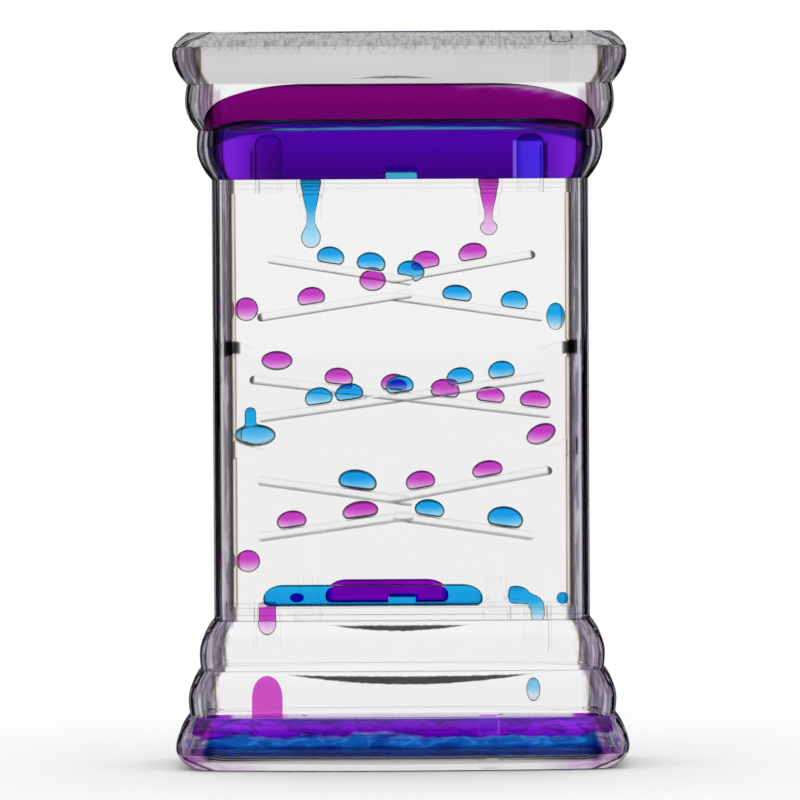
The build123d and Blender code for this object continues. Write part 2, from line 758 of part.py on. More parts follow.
# Charges in the reservoirs
charge_inset = wall + liquid_gap / 2
lower_rim = 2.0
blue_lower_depth = 6.6
magenta_lower_depth = 6.6
dome_radius = 3.05
dome_reach = 5.9
upper_rim = 1.6
blue_upper_depth = 12.2
blue_upper_round = 9.5
magenta_upper_depth = 18.3
magenta_upper_edge_depth = 12.4
magenta_upper_round = 21.0
tube_cap = 2.0


def lower_charge(side, depth):
    """Liquid on the bottom lid, with a round rim at its free level."""
    band = lobe_solid(END_LOBE, charge_inset, lid_thickness, lid_thickness + depth)
    band &= half_space(side, divider_face)
    return fillet(band.edges().group_by(Axis.Z)[-1], lower_rim)


def upper_charge(side, edge, crown, rounding):
    """Liquid on an upper deck: it fills the lobes to its edge, then rounds to its crown."""
    body = lobe_solid(INNER_LOBE, charge_inset, INNER_LOBE.start, INNER_LOBE.finish)
    body += lobe_solid(MIDDLE_LOBE, charge_inset, MIDDLE_LOBE.start, MIDDLE_LOBE.finish)
    body = other_end(body) & half_space(side, divider_face)
    side_reach = half_width + MIDDLE_LOBE.flare(cap_height - edge) - charge_inset
    across = level_prism(Plane.XZ, side_reach, edge, crown, rounding)
    flare = MIDDLE_LOBE.flare(cap_height - crown)
    window = half_depth + depth_flare_share * flare + MIDDLE_LOBE.bulge - charge_inset
    along = level_prism(Plane.YZ, (window - divider_face) / 2, crown - upper_rim, crown, upper_rim)
    along = Pos(0, side * (window + divider_face) / 2, 0) * along
    charge = body & Pos(0, 0, upper_deck_face) * across & Pos(0, 0, upper_deck_face) * along
    tube_room = Cylinder(
        tube_radius + fit, tube_reach + tube_cap, align=(Align.CENTER, Align.CENTER, Align.MIN)
    )
    tube_room = fillet(tube_room.edges().group_by(Axis.Z)[-1], tube_cap)
    return charge - Pos(side * upper_tube_offset, side * channel_middle, upper_deck_face) * tube_room


blue_upper = upper_charge(FRONT, INNER_LOBE.height, blue_upper_depth, blue_upper_round)
save("blue_upper_charge", blue_upper)
magenta_upper = upper_charge(
    REAR, magenta_upper_edge_depth, magenta_upper_depth, magenta_upper_round
)
magenta_upper -= other_end(key_pads(channel_middle, film))
save("magenta_upper_charge", magenta_upper)

blue_lower = lower_charge(FRONT, blue_lower_depth)
save("blue_lower_charge", blue_lower)

dome_base = lid_thickness + magenta_lower_depth / 2
dome_height = magenta_lower_depth / 2 + dome_reach - dome_radius
dome = Cylinder(dome_radius, dome_height, align=(Align.CENTER, Align.CENTER, Align.MIN))
dome += Pos(0, 0, dome_height) * Sphere(dome_radius)
magenta_lower = lower_charge(REAR, magenta_lower_depth)
magenta_lower += Pos(-lower_tube_offset, channel_middle, dome_base) * dome
plug_reach = Cylinder(
    plug_radius + fit, plug_length + liquid_gap, align=(Align.CENTER, Align.CENTER, Align.MIN)
)
magenta_lower -= Pos(rear_plug_offset, plug_depth) * plug_reach
save("magenta_lower_charge", magenta_lower)
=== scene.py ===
import json
from math import asin, atan2, cos, pi, radians, sin, sqrt, tan

import bpy
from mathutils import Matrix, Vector


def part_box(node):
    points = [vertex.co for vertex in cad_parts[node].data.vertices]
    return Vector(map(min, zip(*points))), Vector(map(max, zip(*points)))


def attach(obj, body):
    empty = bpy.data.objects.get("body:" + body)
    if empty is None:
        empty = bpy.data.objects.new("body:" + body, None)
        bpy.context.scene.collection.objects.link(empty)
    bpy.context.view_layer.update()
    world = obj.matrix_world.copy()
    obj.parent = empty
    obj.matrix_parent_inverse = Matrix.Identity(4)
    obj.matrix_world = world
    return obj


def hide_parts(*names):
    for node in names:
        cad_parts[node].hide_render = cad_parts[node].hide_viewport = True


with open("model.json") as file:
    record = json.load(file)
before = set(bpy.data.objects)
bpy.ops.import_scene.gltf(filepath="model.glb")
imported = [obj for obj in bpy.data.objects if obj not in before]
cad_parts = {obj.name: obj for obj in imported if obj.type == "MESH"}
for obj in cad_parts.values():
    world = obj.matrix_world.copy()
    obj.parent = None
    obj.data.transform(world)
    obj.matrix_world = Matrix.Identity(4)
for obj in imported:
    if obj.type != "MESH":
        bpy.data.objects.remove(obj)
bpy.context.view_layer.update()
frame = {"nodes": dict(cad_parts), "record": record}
bpy.ops.object.select_all(action="DESELECT")

# Camera: at the photograph's distance and height, looking a little down and rolled a little,
# as the verticals show. The picture is square. Light may cross many clear faces.
scene = bpy.context.scene
scene.view_settings.view_transform = "Standard"
scene.cycles.max_bounces = 40
scene.cycles.transmission_bounces = 40
scene.cycles.glossy_bounces = 16
scene.cycles.transparent_max_bounces = 24
eye = Vector((-0.0002, -1.6, 0.125))
aim = Vector((-0.0002, 0.0, 0.0721))
field_width = 0.1587
roll = radians(-0.30)
camera_data = bpy.data.cameras.new("camera")
camera_data.sensor_fit = "HORIZONTAL"
camera_data.sensor_width = 36
camera_data.lens = camera_data.sensor_width * (aim - eye).length / field_width
camera_data.clip_end = 20
camera = bpy.data.objects.new("camera", camera_data)
scene.collection.objects.link(camera)
camera.location = eye
camera.rotation_euler = (aim - eye).to_track_quat("-Z", "Y").to_euler()
camera.rotation_euler.rotate_axis("Z", roll)
scene.camera = camera


# Studio: a pale paper floor and a white field all round. Narrow dark gaps at the sides and
# overhead draw the edges of the clear plastic, and soft lamps stand beside them for its gloss.
class Shader:
    """The nodes of one material or of the world. Values and links go to sockets by name."""

    def __init__(self, name, world=False):
        blocks = bpy.data.worlds if world else bpy.data.materials
        self.owner = blocks.new(name)
        self.owner.use_nodes = True
        self.tree = self.owner.node_tree
        self.tree.nodes.clear()
        self.output = self.tree.nodes.new(
            "ShaderNodeOutputWorld" if world else "ShaderNodeOutputMaterial"
        )

    def node(self, kind, settings=None, **sockets):
        made = self.tree.nodes.new("ShaderNode" + kind)
        for key, value in (settings or {}).items():
            if key == "stops":
                self.set_stops(made.color_ramp, value)
            else:
                setattr(made, key, value)
        for key, value in sockets.items():
            self.put(made.inputs[key.replace("_", " ")], value)
        return made

    def set_stops(self, ramp, stops):
        while len(ramp.elements) < len(stops):
            ramp.elements.new(0.5)
        for element, (place, shade) in zip(ramp.elements, stops):
            element.position = place
            colour = shade if isinstance(shade, tuple) else (shade, shade, shade)
            element.color = (*colour, 1)

    def put(self, socket, value):
        if isinstance(value, Number):
            value = value.socket
        if isinstance(value, bpy.types.NodeSocket):
            self.tree.links.new(value, socket)
        else:
            socket.default_value = value

    def number(self, socket):
        return Number(self, socket)

    def blend(self, factor, first, second, way="MIX"):
        """One colour where the factor is 0 and another where it is 1."""
        mixed = self.node("Mix", {"data_type": "RGBA", "blend_type": way}, Factor=factor)
        for socket, colour in ((mixed.inputs[6], first), (mixed.inputs[7], second)):
            self.put(socket, (*colour, 1) if isinstance(colour, tuple) else colour)
        return mixed.outputs[2]

    def finish(self, surface, volume=None):
        self.tree.links.new(surface.outputs[0], self.output.inputs["Surface"])
        if volume:
            self.tree.links.new(volume.outputs[0], self.output.inputs["Volume"])
        return self.owner


class Number:
    """A socket in a sum. Each sum adds a Math node."""

    def __init__(self, shader, socket):
        self.shader = shader
        self.socket = socket

    def math(self, operation, first, second=None):
        made = self.shader.node("Math", {"operation": operation})
        self.shader.put(made.inputs[0], first)
        if second is not None:
            self.shader.put(made.inputs[1], second)
        return Number(self.shader, made.outputs[0])

    def __add__(self, other):
        return self.math("ADD", self, other)

    __radd__ = __add__

    def __sub__(self, other):
        return self.math("SUBTRACT", self, other)

    def __rsub__(self, other):
        return self.math("SUBTRACT", other, self)

    def __mul__(self, other):
        return self.math("MULTIPLY", self, other)

    __rmul__ = __mul__

    def absolute(self):
        return self.math("ABSOLUTE", self)

    def step(self, low, high):
        """0 below low and 1 above high, with a smooth rise between them."""
        made = self.shader.node("MapRange", {"interpolation_type": "SMOOTHSTEP", "clamp": True})
        self.shader.put(made.inputs["Value"], self)
        self.shader.put(made.inputs["From Min"], low)
        self.shader.put(made.inputs["From Max"], high)
        return Number(self.shader, made.outputs["Result"])


studio = Shader("studio", world=True)
direction = studio.node("SeparateXYZ", Vector=studio.node("TexCoord").outputs["Generated"])
across = studio.number(direction.outputs["X"]).absolute()
height = studio.number(direction.outputs["Z"])
side_gap = across.step(0.76, 0.84) * (1 - across.step(0.955, 0.985))
sky_fall = height.step(0.08, 0.55) * 0.35 + height.step(0.6, 0.9) * 0.4
paths = studio.node("LightPath")
reflected = studio.number(paths.outputs["Glossy Depth"]).step(0.2, 0.8)
forward = 1 - studio.number(direction.outputs["Y"]).step(-0.3, 0.1)
bright_field = (1 - side_gap * 0.85) * (1 - sky_fall) * (1 - reflected * forward * 0.97)
lamp_strips = across.step(0.80, 0.84) * (1 - across.step(0.90, 0.93)) * 1.1
lamps = lamp_strips + height.step(0.6, 0.9) * 0.6
from_camera = studio.number(paths.outputs["Is Camera Ray"])
from_diffuse = studio.number(paths.outputs["Is Diffuse Ray"])
from_glass = studio.number(paths.outputs["Is Transmission Ray"])
from_mirror = (1 - from_camera) * (1 - from_diffuse) * (1 - from_glass)
plain_light = from_camera + from_diffuse * 1.06
strength = plain_light + from_glass * bright_field + from_mirror * (lamps + 0.03)
studio.finish(studio.node("Background", Color=(1, 1, 1, 1), Strength=strength))
scene.world = studio.owner
scene.world.cycles.sampling_method = "NONE"

floor_size = 6.0
floor_drop = 0.0002
bpy.ops.mesh.primitive_plane_add(size=floor_size, location=(0, 0, -floor_drop))
floor = bpy.context.object
floor.name = "floor"
paper = Shader("pale_floor")
paper_paths = paper.node("LightPath")
through = paper.number(paper_paths.outputs["Is Transmission Ray"])
mirror = paper.number(paper_paths.outputs["Is Glossy Ray"]) * (1 - through)
near = paper.node("SeparateXYZ", Vector=paper.node("TexCoord").outputs["Object"]).outputs["Y"]
bounced = paper.number(paper_paths.outputs["Glossy Depth"]).step(0.2, 0.8)
ahead = (1 - paper.number(near).step(-0.09, -0.03)) * bounced
pale, dark = (0.97, 0.97, 0.97), (0.02, 0.02, 0.02)
plain = paper.node("BsdfDiffuse", Color=paper.blend(mirror + through * ahead, pale, dark))
lit = paper.node("Emission", Color=(*pale, 1), Strength=1.0)
floor_shader = paper.node("MixShader", Fac=through * (1 - ahead))
paper.tree.links.new(plain.outputs[0], floor_shader.inputs[1])
paper.tree.links.new(lit.outputs[0], floor_shader.inputs[2])
floor.data.materials.append(paper.finish(floor_shader))
bpy.ops.object.select_all(action="DESELECT")


# Case shells: two clear plastic mouldings, front and rear, with three rounded lobes at each
# end. They are welded along the seam down both sides. Each is a skin and its inner face, one
# wall apart, and keeps a hair's gap from its neighbours so that no clear faces coincide.
MM = 0.001
clear = 0.03
total_height = 145.0
half_width = 37.1
half_depth = 13.0
corner_radius = 5.0
wall = 2.4
lid_height = 2.9
cap_height = 29.0
depth_flare_share = 0.70
corner_flare_share = 0.30
lobes = [
    # start, height, peak share, flare at start, peak and finish, bulge
    (0.0, 10.2, 0.40, 4.6, 7.6, 4.7, 3.6),
    (10.2, 9.1, 0.38, 4.7, 5.1, 2.6, 2.4),
    (19.3, 9.7, 0.33, 2.6, 2.9, 0.0, 1.2),
]
ring_offset = 0.001
lobe_steps, short_steps, short_rise = 14, 5, 4
side_steps, corner_steps, bow_steps = 4, 12, 28
smooth_angle = radians(28)


def flare_at(lobe, z):
    """How far the side of a lobe stands out past the waist at a height."""
    start, tall, peak_share, low, top, high, _ = lobe
    peak = start + peak_share * tall
    if z <= peak:
        away, edge = (peak - z) / (peak - start), low
    else:
        away, edge = (z - peak) / (start + tall - peak), high
    return top - (top - edge) * away**2


def outline(flare, bulge, inset):
    """The front half of the plan at a height, from the right seam to the left one."""
    side = half_width + flare - inset
    front = half_depth + depth_flare_share * flare + bulge - inset
    corner = corner_radius + corner_flare_share * flare - inset
    corner_x = side - corner
    if bulge:
        bow = (side**2 + bulge**2) / (2 * bulge)
        bow_y = bow - front
        corner_y = bow_y - sqrt((bow - corner) ** 2 - corner_x**2)
        turn = atan2(corner_y - bow_y, corner_x)
    else:
        corner_y = corner - front
        turn = -pi / 2
    points = [(side, corner_y * k / side_steps) for k in range(side_steps)]
    for k in range(corner_steps):
        angle = turn * k / corner_steps
        points.append((corner_x + corner * cos(angle), corner_y + corner * sin(angle)))
    meet = corner_x + corner * cos(turn)
    middle = []
    for k in range(bow_steps + 1):
        if bulge:
            angle = asin(meet / bow) * (1 - 2 * k / bow_steps)
            middle.append((bow * sin(angle), bow_y - bow * cos(angle)))
        else:
            middle.append((meet * (1 - 2 * k / bow_steps), -front))
    return points + middle + [(-x, y) for x, y in reversed(points)]


def seam_distance(column):
    """0 at the seam, 1 where the corner starts, 2 where it ends and 3 at the middle."""
    last = 2 * (side_steps + corner_steps) + bow_steps
    column = min(column, last - column)
    if column <= side_steps:
        return column / side_steps
    if column <= side_steps + corner_steps:
        return 1 + (column - side_steps) / corner_steps
    return 2 + (column - side_steps - corner_steps) / (bow_steps / 2)


def cap_levels(lowest):
    """Height, flare and bulge of each ring from a height up to the waist."""
    rows = []
    for number, lobe in enumerate(lobes):
        low = max(lobe[0] + (ring_offset if number else 0.0), lowest)
        high = lobe[0] + lobe[1]
        steps = lobe_steps if low < high - short_rise else short_steps
        for k in range(steps + 1):
            z = low + (high - low) * (1 - cos(pi * k / steps)) / 2
            rows.append((z, flare_at(lobe, z), lobe[6]))
    return rows


def grid_of(points, name):
    """A sheet of quads through rows of points, in millimetres, made from a grid."""
    rows, columns = len(points), len(points[0])
    bpy.ops.mesh.primitive_grid_add(
        x_subdivisions=columns - 1, y_subdivisions=rows - 1, size=20 * MM
    )
    sheet = bpy.context.object
    sheet.name = name
    for number, vertex in enumerate(sheet.data.vertices):
        vertex.co = Vector(points[number // columns][number % columns]) * MM
    return sheet


def pick(*pieces):
    """Select these pieces alone. The first is the active one."""
    bpy.ops.object.select_all(action="DESELECT")
    for piece in pieces:
        piece.select_set(True)
    bpy.context.view_layer.objects.active = pieces[0]


def close_rims(piece, close):
    """Pick the open edges of a sheet, close them, and turn all faces outwards."""
    bpy.ops.object.mode_set(mode="EDIT")
    bpy.ops.mesh.select_all(action="DESELECT")
    bpy.ops.mesh.select_mode(type="EDGE")
    bpy.ops.mesh.select_non_manifold()
    close()
    bpy.ops.mesh.select_all(action="SELECT")
    bpy.ops.mesh.normals_make_consistent(inside=False)
    bpy.ops.object.mode_set(mode="OBJECT")


def mark(piece, name, values):
    """Write a number on each vertex, for the material to read."""
    marks = piece.data.attributes.new(name, "FLOAT", "POINT")
    for number, value in enumerate(values):
        marks.data[number].value = value


def give(piece, body, slot, nodes, *materials):
    """Materials, body and the CAD nodes that a piece stands for. The slot is not used."""
    for material in materials:
        piece.data.materials.append(material)
    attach(piece, body)
    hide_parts(*nodes)
    bpy.ops.object.select_all(action="DESELECT")
    return piece


def patch(place, middle, half, soft=0.5):
    """1 inside a strip and 0 outside it."""
    return 1 - (place - middle).absolute().step(half - soft / 2, half + soft / 2)


def place_of(made, axis):
    """Where a point of the piece lies along an axis, in millimetres."""
    parts = made.node("SeparateXYZ", Vector=made.node("TexCoord").outputs["Object"])
    return made.number(parts.outputs[axis]) * 1000


def marked(made, name):
    return made.number(made.node("Attribute", {"attribute_name": name}).outputs["Fac"])


def noise(made, scale, detail, *stretch):
    """Noise over a piece, closer along the axes that are stretched more."""
    places = made.node("TexCoord").outputs["Object"]
    if stretch:
        places = made.node("Mapping", Vector=places, Scale=stretch).outputs[0]
    grain = made.node("TexNoise", Vector=places, Scale=scale, Detail=detail)
    return made.number(grain.outputs["Fac"])


def clear_plastic(made, colour, index):
    """Polished clear plastic, of the index that it shows against what surrounds it."""
    return made.finish(made.node(
        "BsdfPrincipled", Base_Color=colour, Roughness=0.0, IOR=index, Transmission_Weight=1.0
    ))


# The skin's tone by place, as painted shade and painted highlight for the clear plastic's
# refraction: dark bands beside the seams with light lines in them, dark strips where the lobes
# meet in front, and faint dark level lines at the decks. The top lobe is grey, and the rough weld
# on it is painted darker as shade.
skin = Shader("clear_skin")
skin_x = place_of(skin, "X")
skin_side = skin_x.absolute()
skin_level = place_of(skin, "Z")
in_front = 1 - place_of(skin, "Y").step(-2, 2)
streaks = noise(skin, 1.0, 3.0, 900, 900, 60)
band_place = marked(skin, "seam_distance") * (1 / 3) + (streaks - 0.5) * 0.016
# Painted shade and painted highlight: dark greys, light lines and a brown fringe beside each seam.
painted_seam_shade = skin.node("ValToRGB", {"stops": [
    (0.00, 0.88), (0.28, 0.80), (0.36, (0.42, 0.40, 0.45)), (0.42, (0.26, 0.24, 0.28)),
    (0.47, (0.18, 0.16, 0.20)), (0.505, (0.15, 0.13, 0.17)), (0.520, (0.54, 0.52, 0.58)),
    (0.534, (0.46, 0.44, 0.50)), (0.548, (0.12, 0.09, 0.14)), (0.560, (0.14, 0.11, 0.16)),
    (0.572, (0.33, 0.31, 0.36)), (0.582, (0.15, 0.11, 0.17)), (0.592, 0.07), (0.618, 0.05),
    (0.627, (0.42, 0.27, 0.16)), (0.635, (0.95, 0.86, 0.76)), (0.655, 1.0),
]}, Fac=band_place)
grey = skin_level.step(134.2, 135.2) * (0.12 + noise(skin, 45.0, 2.0, 0.5, 1, 3) * 0.32)
rough = noise(skin, 1.0, 4.0, 1500, 1500, 160).step(0.40, 0.70) * 0.45 + 0.12
# The weld is real; its darkening is painted shade.
weld = skin_level.step(141.0, 141.6) * rough
tone = (1 - grey) * (1 - weld)
# Painted shade: dark lens-shaped strips in front where the lobes meet.
strips = [
    # level, left and right end, half height, how far the ends rise, darkness
    (27.7, -14.3, 13.4, 0.62, 0.6, 0.995),
    (17.6, -23.3, 26.2, 0.85, 1.2, 0.995),
    (136.0, -9.3, 7.4, 0.30, -0.3, 0.90),
]
for middle, start, finish, half, rise, depth in strips:
    away = (skin_x - (start + finish) / 2) * (2 / (finish - start))
    lens = (1 - away * away) * half
    bent = skin_level - middle - away * away * rise + (streaks - 0.5) * 0.4
    strip = (bent.absolute() - lens).step(-0.2, 0.1)
    tone = tone * (1 - (1 - strip) * in_front * depth)
# Painted shade: faint dark level lines at the decks, the waist's ledge and the notches between the
# lobes.
lines = [
    # level, half height, darkness
    (142.1, 0.10, 0.6), (116.1, 0.13, 0.35), (115.2, 0.10, 0.35), (114.2, 0.09, 0.25),
    (31.6, 0.10, 0.35), (30.2, 0.12, 0.3), (29.1, 0.12, 0.45),
    (19.3, 0.10, 0.5), (10.3, 0.12, 0.4),
]
for level, half, depth in lines:
    tone = tone * (1 - patch(skin_level, level, half, 0.12) * in_front * depth)

# Painted highlight: pale specks in the dark band beside the seams.
painted_highlight_flecks = patch(band_place, 0.556, 0.022, 0.02)
painted_highlight_flecks = painted_highlight_flecks * noise(skin, 1.0, 3.0, 500, 500, 130).step(0.50, 0.60)
# Painted shade: dark blue-grey mottling in the band below the waist.
painted_shade_mottle = (1 - skin_level.step(30, 32)) * patch(band_place, 0.50, 0.15, 0.05)
painted_shade_mottle = painted_shade_mottle * noise(skin, 1.0, 3.0, 900, 900, 500).step(0.45, 0.56)
# Painted shade: a dark red-purple patch at the sides of the upper middle lobe.
plum = patch(skin_level, 129.5, 4.2, 2.0) * patch(skin_side, 36.9, 1.9, 0.8) * in_front
# Painted shade: dark purple patches at the sides, below the upper decks.
painted_side_shade = (1 - skin_level.step(117, 121)) * skin_side.step(35.0, 37.5)
painted_side_shade = painted_side_shade * noise(skin, 70.0, 3.0, 1, 1, 0.35).step(0.5, 0.68)
# Painted shade: dark purple patches at the bottom of the ends.
ends = skin_side.step(24.0, 37.0) * (1 - skin_level.step(2.0, 3.2))
ends = ends * noise(skin, 90.0, 3.0, 1, 1, 3).step(0.4, 0.6)
# Painted shade: near black at the bottom corners.
corner = patch(skin_level, 2.9, 1.4, 0.8) * patch(skin_side, 40.4, 2.8, 1.2)
tinted = painted_seam_shade.outputs[0]
for mask, amount, colour in (
    (painted_highlight_flecks, 0.8, (0.66, 0.60, 0.72)),
    (painted_shade_mottle, 0.65, (0.24, 0.23, 0.33)),
    (plum, 0.7, (0.30, 0.12, 0.30)),
    (painted_side_shade, 0.75, (0.17, 0.06, 0.22)),
    (ends, 0.9, (0.40, 0.07, 0.44)),
    (corner, 0.9, (0.16, 0.02, 0.18)),
):
    tinted = skin.blend(mask * amount, tinted, colour)
tones = skin.node("CombineXYZ", X=tone, Y=tone, Z=tone)
skin_plastic = clear_plastic(skin, skin.blend(1.0, tinted, tones.outputs[0], "MULTIPLY"), 1.5)
inner_plastic = clear_plastic(Shader("clear_inner_face"), (1, 1, 1, 1), 1.35)
joint = Shader("welded_joint")
welded = joint.finish(joint.node("BsdfTransparent"))

cap_rows = cap_levels(lid_height + clear)
waist_rows = [(cap_height + ring_offset, 0.0, 0.0), (total_height / 2, 0.0, 0.0)]
upper_rows = [
    (total_height - z, flare, bulge) for z, flare, bulge in reversed(cap_rows + waist_rows[:1])
]
shell_rows = cap_rows + waist_rows + upper_rows
for node, way in (("front_shell", 1), ("rear_shell", -1)):
    sheets = []
    for inset in (0.0, wall):
        points = []
        for z, flare, bulge in shell_rows:
            half_plan = outline(flare, bulge, inset)
            points.append([(x, way * (y - clear), z) for x, y in half_plan])
        sheet = grid_of(points, node)
        columns = len(points[0])
        count = len(sheet.data.vertices)
        mark(sheet, "seam_distance", [seam_distance(k % columns) for k in range(count)])
        sheets.append(sheet)
    faces_outside = len(sheets[0].data.polygons)
    pick(*sheets)
    bpy.ops.object.join()
    shell = sheets[0]
    shell.name = "clear_" + node
    close_rims(shell, bpy.ops.mesh.bridge_edge_loops)
    for face in shell.data.polygons:
        face.material_index = min(face.index // faces_outside, 2)
    bpy.ops.object.shade_smooth_by_angle(angle=smooth_angle)
    give(shell, "case", "clear_case", [node], skin_plastic, inner_plastic, welded)
    for face in shell.data.polygons:
        from_end = min(face.center.z, total_height * MM - face.center.z)
        at_seam = abs(face.center.y) < 1.01 * clear * MM
        if at_seam or from_end < (lid_height + 1.01 * clear) * MM:
            face.material_index = 2


# Divider and decks: clear plates moulded in, in oil of nearly their own index, so that only
# their edges show. The divider parts the front channel from the rear one, and the decks part
# the reservoirs from the cell.
moulding = clear_plastic(Shader("clear_moulding"), (0.995, 0.995, 0.995, 1), 1.07)


def copy_of(node, name):
    """A copy of a CAD node's mesh, without the frame's own marks and material."""
    source = frame["nodes"][node]
    copy = source.copy()
    copy.data = source.data.copy()
    copy.name = name
    for key in list(copy.keys()):
        del copy[key]
    scene.collection.objects.link(copy)
    copy.parent = None
    copy.data.materials.clear()
    return copy


def eased_copy(node, slot, material):
    """A copy of a CAD node with each side of its box drawn in by the clearance."""
    copy = copy_of(node, "eased_" + node)
    low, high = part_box(node)
    middle = (low + high) / 2
    size = high - low
    for vertex in copy.data.vertices:
        for axis in range(3):
            share = 1 - 2 * clear * MM / size[axis]
            vertex.co[axis] = middle[axis] + (vertex.co[axis] - middle[axis]) * share
    give(copy, "case", slot, [node], material)


for node in frame["nodes"]:
    if node.endswith("_deck") or node == "divider":
        eased_copy(node, "clear_inner", moulding)


# Side walls: clear strips that close the cell at both sides, each with a wedge that turns the
# falling drops back. The outer ends of the upper wedges are painted near black, a painted shade
# for how they look against the seam.
wedge = Shader("clear_side_wall")
wedge_level = place_of(wedge, "Z") + noise(wedge, 600.0, 3.0) * 0.8
outer = place_of(wedge, "X").absolute().step(31.5, 32.3)
# Painted shade: near black on the upper wedges' outer ends.
shadowed = patch(wedge_level, 83.0, 1.3, 0.6) * outer * 0.96
wedge_colour = wedge.blend(shadowed, (0.985, 0.985, 0.985), (0.03, 0.025, 0.04))
wedge_plastic = clear_plastic(wedge, wedge_colour, 1.10)
for node in frame["nodes"]:
    if node.endswith("_wall"):
        eased_copy(node, "clear_inner", wedge_plastic)


# Ramps: clear bars with round ends, moulded in between the divider and the window. Painted shade:
# a grey line along the underside of each, a darker top edge, and some ends painted dark.
bar = Shader("clear_bar")
bar_place = marked(bar, "bar_height") + (noise(bar, 2.0, 2.0, 60, 60, 400) - 0.5) * 0.16
# Painted shade: grey along the underside and darker along the top edge of each bar.
painted_bar_shade = bar.node("ValToRGB", {"stops": [
    (0.0, 0.30), (0.10, 0.42), (0.20, 0.86), (0.30, 0.98), (0.86, 0.99), (0.95, 0.90), (1.0, 0.70),
]}, Fac=bar_place)
# Painted shade: dark at the marked ends of some bars.
past_end = marked(bar, "past_end").step(-1.1, -0.5)
bar_colour = bar.blend(past_end, painted_bar_shade.outputs[0], (0.12, 0.11, 0.12))
bar_plastic = clear_plastic(bar, bar_colour, 1.13)

ramp_thickness = 1.7
ramp_bevel = ramp_thickness / 2 * 0.998
bevel_steps = 10
side_wall_face = 33.05
cell_half_height = 40.7
channel_near, channel_far = 0.6, 10.6
ramp_depth = channel_far - channel_near - 2 * clear
ramp_shares = {
    # left and right end, height, slope in degrees
    "front_high_ramp": (-0.796, 0.076, 0.581, 9.2),
    "front_second_ramp": (-0.061, 0.856, 0.494, 8.2),
    "front_long_ramp": (-0.856, 0.862, 0.009, -8.0),
    "front_fourth_ramp": (-0.862, 0.073, -0.489, 8.1),
    "front_low_ramp": (-0.057, 0.796, -0.571, 8.4),
    "rear_high_ramp": (-0.073, 0.809, 0.585, -9.8),
    "rear_second_ramp": (-0.859, 0.076, 0.501, -8.7),
    "rear_long_ramp": (-0.908, 0.908, 0.005, 6.9),
    "rear_fourth_ramp": (-0.076, 0.905, -0.484, -10.0),
    "rear_low_ramp": (-0.868, 0.076, -0.581, -7.9),
}
# Which end of a bar gets painted shade: -1 the left, 1 the right.
shade_painted_ends = {
    "rear_second_ramp": -1, "rear_long_ramp": -1, "rear_high_ramp": 1, "rear_fourth_ramp": 1,
}
for node, (left, right, rise, slope) in ramp_shares.items():
    way = -1 if node.startswith("front") else 1
    fall = tan(radians(slope))
    left, right = left * side_wall_face, right * side_wall_face
    middle = (left + right) / 2
    level = total_height / 2 + rise * cell_half_height - fall * middle
    half_length = (right - left) * sqrt(1 + fall * fall) / 2
    bpy.ops.mesh.primitive_cube_add(size=1, location=(0, 0, 0))
    ramp = bpy.context.object
    ramp.name = "clear_" + node
    ramp.scale = (2 * half_length * MM, ramp_depth * MM, ramp_thickness * MM)
    bpy.ops.object.transform_apply(location=False, rotation=False, scale=True)
    bevel = ramp.modifiers.new("round_ends", "BEVEL")
    bevel.limit_method = "WEIGHT"
    bevel.width = ramp_bevel * MM
    bevel.segments = bevel_steps
    weights = ramp.data.attributes.new("bevel_weight_edge", "FLOAT", "EDGE")
    for edge in ramp.data.edges:
        a, b = (ramp.data.vertices[k].co for k in edge.vertices)
        weights.data[edge.index].value = 1.0 if abs(a.y - b.y) > MM else 0.0
    bpy.ops.object.modifier_apply(modifier="round_ends")
    corners = [vertex.co / MM for vertex in ramp.data.vertices]
    end = shade_painted_ends.get(node, 0)
    mark(ramp, "bar_height", [point.z / ramp_thickness + 0.5 for point in corners])
    mark(ramp, "past_end", [point.x * end - half_length for point in corners])
    ramp.rotation_euler = (0, radians(slope), 0)
    ramp.location = (middle * MM, way * (channel_near + channel_far) / 2 * MM, level * MM)
    bpy.ops.object.transform_apply(location=True, rotation=True, scale=True)
    bpy.ops.object.shade_smooth_by_angle(angle=radians(30))
    give(ramp, "case", "clear_inner", [node], bar_plastic)


# Nozzles and return tubes: clear mouldings of the decks. The nozzles drip the water into the
# cell, and the tubes let it drain from the cell's floor. They keep their CAD meshes.
for node, source in frame["nodes"].items():
    if node.endswith(("_nozzle", "_tube")):
        source.material_slots[0].material = moulding


